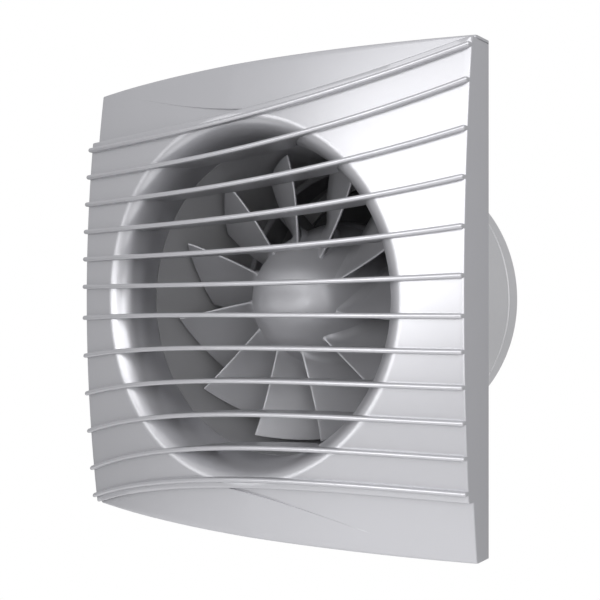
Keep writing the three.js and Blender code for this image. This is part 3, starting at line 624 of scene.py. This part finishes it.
def cover_skin(skin, scale, sink, lip_radius, throat_radius):
    """One face of the moulding. Returns its loop at the throat's end."""

    def place(x, y, z):
        return (x * scale, y + sink, z * scale)

    def wall(line):
        """Joins a line of points straight back to the wall plane."""
        skin.grid([line, [(x, 0.0, z) for x, y, z in line]])

    turns = field_turns()
    rows = field_rows(turns)
    field = [[place(x, -field_depth(x, z), z) for x, z in row] for row in rows]
    skin.grid(field, closed=True)

    lip = []
    for angle in spread(0, math.pi / 2, 12):
        radius = throat_radius + (lip_radius - throat_radius) * (1 - math.sin(angle))
        line = []
        for turn in turns:
            c, s = math.cos(turn), math.sin(turn)
            face = -field_depth(LIP_RADIUS * c, LIP_RADIUS * s) + sink
            depth = face + (LIP_END - face) * (1 - math.cos(angle)) ** LIP_SOFTNESS
            line.append((radius * c, depth, radius * s))
        lip.append(line)
    lip.append([(throat_radius * math.cos(t), THROAT_END, throat_radius * math.sin(t)) for t in turns])
    skin.grid(lip, closed=True)

    edge = rows[-1]
    for i, (x, z) in enumerate(edge):
        following = (i + 1) % len(edge)
        same_side = abs(x - edge[following][0]) < NEAR
        if same_side and all(abs(abs(edge[j][0]) - HALF) < SAME for j in (i, following)):
            wall([field[-1][i], field[-1][following]])
    for sign in (-1, 1):
        step = sorted(point for point in edge if on_step(point, sign))
        raised = [place(x, -field_depth(x, z), z) for x, z in step]
        columns = [[place(*point) for point in column] for column in margin_columns(step)]
        skin.grid([raised, [column[0] for column in columns]])
        skin.grid(columns)
        wall([column[-1] for column in columns])
        for column in (columns[0], columns[-1]):
            wall(column)
    return lip[-1]


def make_cover():
    skin = Skin()
    inner = (HALF - COVER_WALL) / HALF
    throat = cover_skin(skin, 1.0, 0.0, LIP_RADIUS, THROAT_RADIUS)
    collar = cover_skin(skin, inner, COVER_WALL, LIP_RADIUS * inner, THROAT_RADIUS + THROAT_WALL)
    skin.grid([throat, collar], closed=True)
    rim = square_loop(HALF)
    skin.grid([rim, [(x * inner, y, z * inner) for x, y, z in rim]], closed=True)
    return skin.make("cover_moulding", "cover", silver, ["front_cover"], sharp=28.0)


def square_loop(half):
    return [(-half, 0.0, -half), (half, 0.0, -half), (half, 0.0, half), (-half, 0.0, half)]


# ---------- louvres ----------
def face_depth(x, z):
    """Depth of the cover's surface under a louvre: the face, the lip, or nothing inside the throat."""
    radius = math.hypot(x, z)
    if radius >= LIP_RADIUS:
        return -crown(x, z)
    if radius <= THROAT_RADIUS:
        return 0.0
    sine = 1 - (radius - THROAT_RADIUS) / (LIP_RADIUS - THROAT_RADIUS)
    face = -crown(x * LIP_RADIUS / radius, z * LIP_RADIUS / radius)
    return face + (LIP_END - face) * (1 - math.sqrt(max(0.0, 1 - sine ** 2))) ** LIP_SOFTNESS


def louvre_section(front, back, size):
    """Outline of a louvre across its length: rounded bead in front, thin fin behind."""
    points = []
    for degrees in spread(-90, 90, 8):
        a = math.radians(degrees)
        points.append((front + BEAD_HALF * (1 - math.cos(a)), size * BEAD_HALF * math.sin(a)))
    shoulder = min(front + BEAD_SHOULDER, back)
    neck = min(front + BEAD_NECK, back)
    root = FIN_ROOT_HALF if back > neck else BEAD_HALF
    tip = FIN_TIP_HALF if back > neck else BEAD_HALF
    points += [(shoulder, size * BEAD_HALF), (neck, size * root), (back, size * tip)]
    points += [(back, -size * tip), (neck, -size * root), (shoulder, -size * BEAD_HALF)]
    return points


def make_louvre(k):
    skin = Skin()
    rings = []
    places = [-HALF + inset for inset in LOUVRE_INSETS]
    places += spread(-HALF + 1.5, HALF - 1.5, 118)
    places += [HALF - inset for inset in reversed(LOUVRE_INSETS)]
    for x in places:
        z = louvre_height(k, x)
        front = -crown(x, z) - BEAD_PROUD
        back = min(front + FIN_DEPTH, face_depth(x, z) + FIN_EMBED)
        rest = min(1.0, (HALF - abs(x)) / LOUVRE_ROUND)
        size = math.sqrt(max(0.0, 1 - (1 - rest) ** 2)) * (1 - LOUVRE_END_SIZE) + LOUVRE_END_SIZE
        front += BEAD_HALF * (1 - size) * LOUVRE_END_SET_BACK
        rings.append([(x, y, z + up) for y, up in louvre_section(front, back, size)])
    skin.tube(rings)
    name = f"louvre_{k:02d}"
    return skin.make(f"{name}_moulding", "cover", silver, [name], sharp=40.0)


# ---------- impeller ----------
def hub_radius(y):
    """Radius of the hub at a depth y: a blunt nose that flares to the rear rim."""
    return HUB_RADIUS * max(0.0, (y - HUB_NOSE) / (HUB_END - HUB_NOSE)) ** HUB_CURVE


def blade_point(number, s, t):
    """Middle surface of a blade: s runs from root to tip and t from leading to trailing edge."""
    lead = LEAD_ROOT_Y + (LEAD_TIP_Y - LEAD_ROOT_Y) * s ** 3
    trail = TRAIL_ROOT_Y + (TRAIL_TIP_Y - TRAIL_ROOT_Y) * s
    turn = CHORD_ROOT_TURN + (CHORD_TIP_TURN - CHORD_ROOT_TURN) * s
    angle = math.radians(LEAD_ANGLE + 360 / BLADES * number + LEAD_SWEEP * math.sqrt(s) + turn * t)
    y = lead + (trail - lead) * t
    root = hub_radius(LEAD_ROOT_Y + (TRAIL_ROOT_Y - LEAD_ROOT_Y) * t) - BLADE_EMBED
    radius = root + (BLADE_TIP - root) * s
    return Vector((radius * math.cos(angle), y, radius * math.sin(angle)))


def blade_shares():
    """Places from a blade's root to its tip, close together in the fillet."""
    height = BLADE_TIP - HUB_RADIUS + 2 * BLADE_EMBED
    lows = [0.0, BLADE_EMBED * 0.6] + [BLADE_EMBED + FILLET * share ** 2 for share in spread(0, 1, 10)]
    shares = [low / height for low in lows]
    return shares + spread(shares[-1], 1, 12)[1:]


def add_blade(skin, number):
    """One blade, thickest in its middle, with a fillet that runs out into the hub."""
    along = [0.5 - 0.5 * math.cos(math.pi * t) for t in spread(0, 1, 20)]
    rings = []
    for s in blade_shares():
        faces = {1: [], -1: []}
        for t in along:
            middle = blade_point(number, s, t)
            out = blade_point(number, min(1, s + TINY), t) - blade_point(number, max(0, s - TINY), t)
            back = blade_point(number, s, min(1, t + TINY)) - blade_point(number, s, max(0, t - TINY))
            normal = out.cross(back).normalized()
            foot = blade_point(number, 0, t)
            above = (middle - foot).length - BLADE_EMBED * 0.75
            near = min(1.0, max(0.0, 1 - above / FILLET))
            bulge = math.sqrt(math.sin(math.pi * min(1.0, max(0.0, t))))
            blend = FILLET * (1 - math.sqrt(1 - near ** 2))
            half = BLADE_EDGE_HALF + (BLADE_BULGE + blend) * bulge
            for side in (1, -1):
                faces[side].append(tuple(middle + normal * side * half))
        edge = blade_point(number, s, 0)
        ahead = (edge - blade_point(number, s, TINY)).normalized()
        rings.append([tuple(edge + ahead * EDGE_PROUD)] + faces[1] + list(reversed(faces[-1])))
    skin.tube(rings)


def hub_outline(rim, nose, steps):
    """Corners (radius, y) of the hub's flare, from its nose to its rear rim."""
    return [(r, nose + (HUB_END - nose) * (r / rim) ** (1 / HUB_CURVE)) for r in spread(0, rim, steps)]


def make_impeller():
    skin = Skin()
    outside = hub_outline(HUB_RADIUS, HUB_NOSE, 36)
    inside = hub_outline(HUB_RADIUS - HUB_WALL, HUB_NOSE + NOSE_WALL * HUB_WALL, 16)
    edge = [(HUB_RADIUS, HUB_END - HUB_EDGE), (HUB_RADIUS - HUB_EDGE, HUB_END)]
    skin.turned(outside[:-1] + edge + inside[::-1], 12 * BLADES)
    front = HUB_NOSE + HUB_WALL
    boss = [(BOSS_RADIUS, front), (BOSS_RADIUS, HUB_END), (BUSH_BORE, HUB_END), (BUSH_BORE, front)]
    skin.turned(boss, 48)
    for number in range(BLADES):
        add_blade(skin, number)
    return skin.make("impeller_moulding", "rotor", blade_silver, ["impeller"], sharp=50.0)


# ---------- duct tube and motor holder ----------
def make_tube():
    """The duct tube, with a lead-in from the throat and a flange against the wall plate."""
    skin = Skin()
    flange = TUBE_OUTER + FLANGE_WIDTH
    back = -PLATE_THICK - PLATE_GAP
    front = back - FLANGE_THICK
    profile = [(THROAT_RADIUS - THROAT_LAP, TUBE_FRONT), (TUBE_OUTER, TUBE_FRONT)]
    profile += [(TUBE_OUTER, front), (flange, front), (flange, back), (TUBE_OUTER, back)]
    profile += [(TUBE_OUTER, TUBE_END - TUBE_CHAMFER), (TUBE_OUTER - TUBE_CHAMFER, TUBE_END)]
    profile += [(TUBE_INNER, TUBE_END), (TUBE_INNER, LEAD_IN_END)]
    skin.turned(profile, TUBE_SEGMENTS)
    # the tube wears the lighter copy of the silver plastic, which paints extra light on it
    return skin.make("duct_tube_moulding", "housing", silver_painted_lit, ["duct_tube"], sharp=25.0)


def make_holder():
    """The motor housing, the ring that holds it in the tube, and the arms between them."""
    skin = Skin()
    ring = [(RING_INNER, RING_FRONT + RING_CHAMFER), (RING_INNER + RING_CHAMFER, RING_FRONT)]
    ring += [(RING_OUTER, RING_FRONT), (RING_OUTER, RING_END)]
    ring += [(RING_INNER + RING_CHAMFER, RING_END), (RING_INNER, RING_END - RING_CHAMFER)]
    skin.turned(ring, 160)
    pod = [(POD_EYE, POD_FRONT)]
    for a in spread(0, math.pi / 2, 8):
        radius = POD_OUTER - POD_CORNER + POD_CORNER * math.sin(a)
        pod.append((radius, POD_FRONT + POD_CORNER - POD_CORNER * math.cos(a)))
    pod += [(POD_OUTER, POD_END), (POD_INNER, POD_END), (POD_INNER, POD_FLOOR), (POD_EYE, POD_FLOOR)]
    skin.turned(pod, 128)
    low = (ARM_ROOT, ARM_FRONT, -ARM_HALF)
    high = (ARM_TIP, ARM_END, ARM_HALF)
    for i in range(ARMS):
        skin.box(low, high, math.pi * (1 / 4 + i / 2))
    lug_front = POD_END - LUG_LENGTH
    lug = [(LUG_BORE, lug_front), (LUG_RADIUS, lug_front), (LUG_RADIUS, POD_END), (LUG_BORE, POD_END)]
    for side in (-1, 1):
        skin.turned(lug, 32, centre=(side * LUG_X, 0.0))
    return skin.make("motor_holder_moulding", "housing", grey, ["motor_holder"], bevel=0.3)


# ---------- back-draught valve ----------
def make_collar():
    """The valve's collar: its seat, the bar across the seat, and the pin's two bosses."""
    skin = Skin()
    profile = [(SEAT_RADIUS, COLLAR_FRONT), (TUBE_OUTER - FRONT_CHAMFER, COLLAR_FRONT)]
    profile += [(TUBE_OUTER, COLLAR_FRONT + FRONT_CHAMFER), (TUBE_OUTER, COLLAR_END - END_CHAMFER)]
    profile += [(TUBE_OUTER - END_CHAMFER, COLLAR_END), (COLLAR_BORE, COLLAR_END)]
    profile += [(COLLAR_BORE, SEAT_END), (SEAT_RADIUS, SEAT_END)]
    skin.turned(profile, TUBE_SEGMENTS)
    skin.box((-BAR_HALF, COLLAR_FRONT, -BAR_REACH), (BAR_HALF, SEAT_END, BAR_REACH))
    for low, high in ((-PIN_BOSS_HIGH, -PIN_BOSS_LOW), (PIN_BOSS_LOW, PIN_BOSS_HIGH)):
        skin.box((-PIN_BOSS_HALF, PIN_BOSS_FRONT, low), (PIN_BOSS_HALF, PIN_BOSS_END, high))
    # the collar wears the lighter copy of the silver plastic, which paints extra light on it
    return skin.make("valve_collar_moulding", "housing", silver_painted_lit, ["valve_collar"], sharp=30.0)


def upright(skin, outline):
    """Revolves an outline of (radius, z) corners about the hinge pin's line."""
    skin.turned(outline, PIN_SEGMENTS, (0.0, PIN_Y), axis="z")


def make_pin():
    skin = Skin()
    end = PIN_LENGTH / 2
    upright(skin, [(0.0, -end), (PIN_RADIUS, -end), (PIN_RADIUS, end), (0.0, end)])
    return skin.make("valve_pin_bar", "housing", steel, ["valve_pin"], bevel=0.25)


def add_knuckle(skin, side, low, high):
    """A sleeve round the pin, and the web that joins it to its flap."""
    sleeve = [(KNUCKLE_BORE, low), (KNUCKLE_RADIUS, low), (KNUCKLE_RADIUS, high), (KNUCKLE_BORE, high)]
    upright(skin, sleeve)
    start, end = sorted((0.0, side * WEB_REACH))
    skin.box((start, FLAP_FRONT, low + WEB_INSET), (end, FLAP_FRONT + FLAP_THICK, high - WEB_INSET))


def make_flap(name, side):
    """A half-disc leaf with stiffening ribs on its back and two knuckles round the pin."""
    skin = Skin()
    corner = math.acos(FLAP_INNER / FLAP_RADIUS)
    back = FLAP_FRONT + FLAP_THICK

    def arc(radius, y, start):
        """An arc parallel to the flap's round edge, as wide as start radians either way."""
        return [(side * radius * math.cos(a), y, radius * math.sin(a)) for a in spread(-start, start, 72)]

    skin.tube([arc(FLAP_RADIUS, y, corner) for y in (FLAP_FRONT, back)])
    for angle in RIB_ANGLES:
        turn = math.radians(angle if side > 0 else 180 - angle)
        start = FLAP_INNER / math.cos(math.radians(angle)) + RIB_START
        low = (start, back - FLAP_EMBED, -RIB_HALF)
        skin.box(low, (FLAP_RADIUS - RIB_END, back + RIB_HEIGHT, RIB_HALF), turn)
    outer, inner = (FLAP_RADIUS - inset for inset in RIM_INSETS)
    low, high = back - FLAP_EMBED, back + RIB_HEIGHT
    section = ((inner, low), (inner, high), (outer, high), (outer, low))
    sides = [arc(radius, y, corner - RIM_END) for radius, y in section]
    skin.tube(list(zip(*sides)))
    for z in KNUCKLES[name]:
        add_knuckle(skin, side, z - KNUCKLE_LENGTH / 2, z + KNUCKLE_LENGTH / 2)
    body = f"flap_{name}"
    return skin.make(f"valve_flap_{name}_moulding", body, charcoal, [f"valve_flap_{name}"], bevel=0.15)


def spring_path():
    """The spring's wire: its straight leg first, then the turns round the pin."""
    path = []
    for out in spread(1, 0, 8):
        path.append(Vector((SPRING_RADIUS + SPRING_LEG * out, -SPRING_DROP * out, SPRING_START)))
    for wound in spread(0, 1, 144)[1:]:
        turn = wound * SPRING_TURNS * 2 * math.pi
        height = SPRING_START + wound * SPRING_LENGTH
        path.append(Vector((SPRING_RADIUS * math.cos(turn), SPRING_RADIUS * math.sin(turn), height)))
    return path


def make_spring(name, side):
    """A torsion spring wound round the pin; its leg lies on the back of the flap."""
    path = spring_path()
    rings = []
    for i, point in enumerate(path):
        ahead = (path[min(i + 1, len(path) - 1)] - path[max(i - 1, 0)]).normalized()
        across = ahead.cross(Vector((0, 0, 1))).normalized()
        over = across.cross(ahead)
        ring = []
        for a in spread(0, 2 * math.pi, 10)[:-1]:
            p = point + (across * math.cos(a) + over * math.sin(a)) * SPRING_WIRE
            ring.append((side * p.x, PIN_Y + p.y, side * p.z))
        rings.append(ring)
    skin = Skin()
    skin.tube(rings)
    body = f"flap_{name}"
    return skin.make(f"valve_spring_{name}_wire", body, steel, [f"valve_spring_{name}"], sharp=60.0)


# ---------- studio ----------
def area_light(name, place, size, power):
    """A rectangular lamp, unseen itself, that points at the middle of the fan."""
    light = bpy.data.lights.new(name, "AREA")
    light.shape = "RECTANGLE"
    light.size, light.size_y = size
    light.energy = power
    lamp = bpy.data.objects.new(name, light)
    lamp.location = place
    lamp.rotation_euler = (-place).to_track_quat("-Z", "Y").to_euler()
    lamp.visible_camera = False
    bpy.context.scene.collection.objects.link(lamp)


def make_world():
    """Soft grey light from all round, brighter from the front and above, behind a white backdrop."""
    world = bpy.data.worlds.new("studio")
    world.use_nodes = True
    nodes = world.node_tree.nodes
    links = world.node_tree.links
    soft = nodes["Background"]
    soft.inputs["Color"].default_value = WORLD_COLOUR
    coords = nodes.new("ShaderNodeTexCoord")
    slope = nodes.new("ShaderNodeVectorMath")
    slope.operation = "DOT_PRODUCT"
    slope.inputs[1].default_value = AMBIENT_SLOPE
    links.new(coords.outputs["Generated"], slope.inputs[0])
    level = nodes.new("ShaderNodeMath")
    level.inputs[1].default_value = AMBIENT
    links.new(slope.outputs["Value"], level.inputs[0])
    links.new(level.outputs["Value"], soft.inputs["Strength"])
    white = nodes.new("ShaderNodeBackground")
    white.inputs["Color"].default_value = WHITE
    path = nodes.new("ShaderNodeLightPath")
    mix = nodes.new("ShaderNodeMixShader")
    links.new(path.outputs["Is Camera Ray"], mix.inputs["Fac"])
    links.new(soft.outputs["Background"], mix.inputs[1])
    links.new(white.outputs["Background"], mix.inputs[2])
    links.new(mix.outputs["Shader"], nodes["World Output"].inputs["Surface"])
    bpy.context.scene.world = world


def make_floor():
    """A large light-coloured disc well below the fan."""
    skin = Skin()
    levels = (FLOOR_LEVEL, FLOOR_LEVEL - FLOOR_THICK)
    turns = spread(0, 2 * math.pi, FLOOR_SEGMENTS)[:-1]
    rim = [(FLOOR_RADIUS * math.cos(a), FLOOR_RADIUS * math.sin(a)) for a in turns]
    rings = [[(x, y, level) for x, y in rim] for level in levels]
    for ring in rings:
        skin.cap(ring)
    skin.grid(rings, closed=True)
    skin.build("floor", floor_paint)


def make_studio():
    bpy.context.scene.view_settings.view_transform = "Standard"
    make_world()
    make_floor()
    for name, (azimuth, height, size, power) in LIGHTS.items():
        across, up = math.radians(azimuth), math.radians(height)
        level = math.cos(up)
        place = Vector((math.sin(across) * level, -math.cos(across) * level, math.sin(up)))
        area_light(name, place * LIGHT_DISTANCE, size, power)


def make_camera():
    lens = bpy.data.cameras.new("camera")
    lens.sensor_width = CAMERA_SENSOR
    lens.lens = CAMERA_LENS
    lens.shift_x, lens.shift_y = CAMERA_SHIFT
    lens.clip_start = CAMERA_NEAR
    camera = bpy.data.objects.new("camera", lens)
    camera.location = CAMERA_PLACE
    camera.rotation_euler = (math.radians(90), 0, math.radians(CAMERA_TURN))
    bpy.context.scene.collection.objects.link(camera)
    bpy.context.scene.camera = camera


# ---------- the fan ----------
make_camera()
make_cover()
for louvre in range(1, LOUVRES + 1):
    make_louvre(louvre)
make_impeller()
make_tube()
make_holder()
make_collar()
make_pin()
for name, side in (("right", 1), ("left", -1)):
    make_flap(name, side)
    make_spring(name, side)

NODE_LOOKS = {
    "silver_plastic": silver, "blade_plastic": blade_silver, "grey_plastic": grey,
    "charcoal_plastic": charcoal, "white_nylon": nylon, "black_rubber": rubber, "steel": steel,
    "cast_aluminium": cast, "brass": brass, "lamination_steel": laminated, "winding_tape": winding,
}


def dress_nodes():
    """Gives each CAD node that stays its slot's material and softened edges."""
    for part in frame["record"]["subparts"]:
        node = frame["nodes"][part["node"]]
        look = NODE_LOOKS[part["material_slot"]]
        node.data.materials.clear()
        node.data.materials.append(look)
        weld = node.modifiers.new("weld", "WELD")
        weld.merge_threshold = 0.005 * MM
        add_bevel(node, 0.15)


dress_nodes()
make_studio()
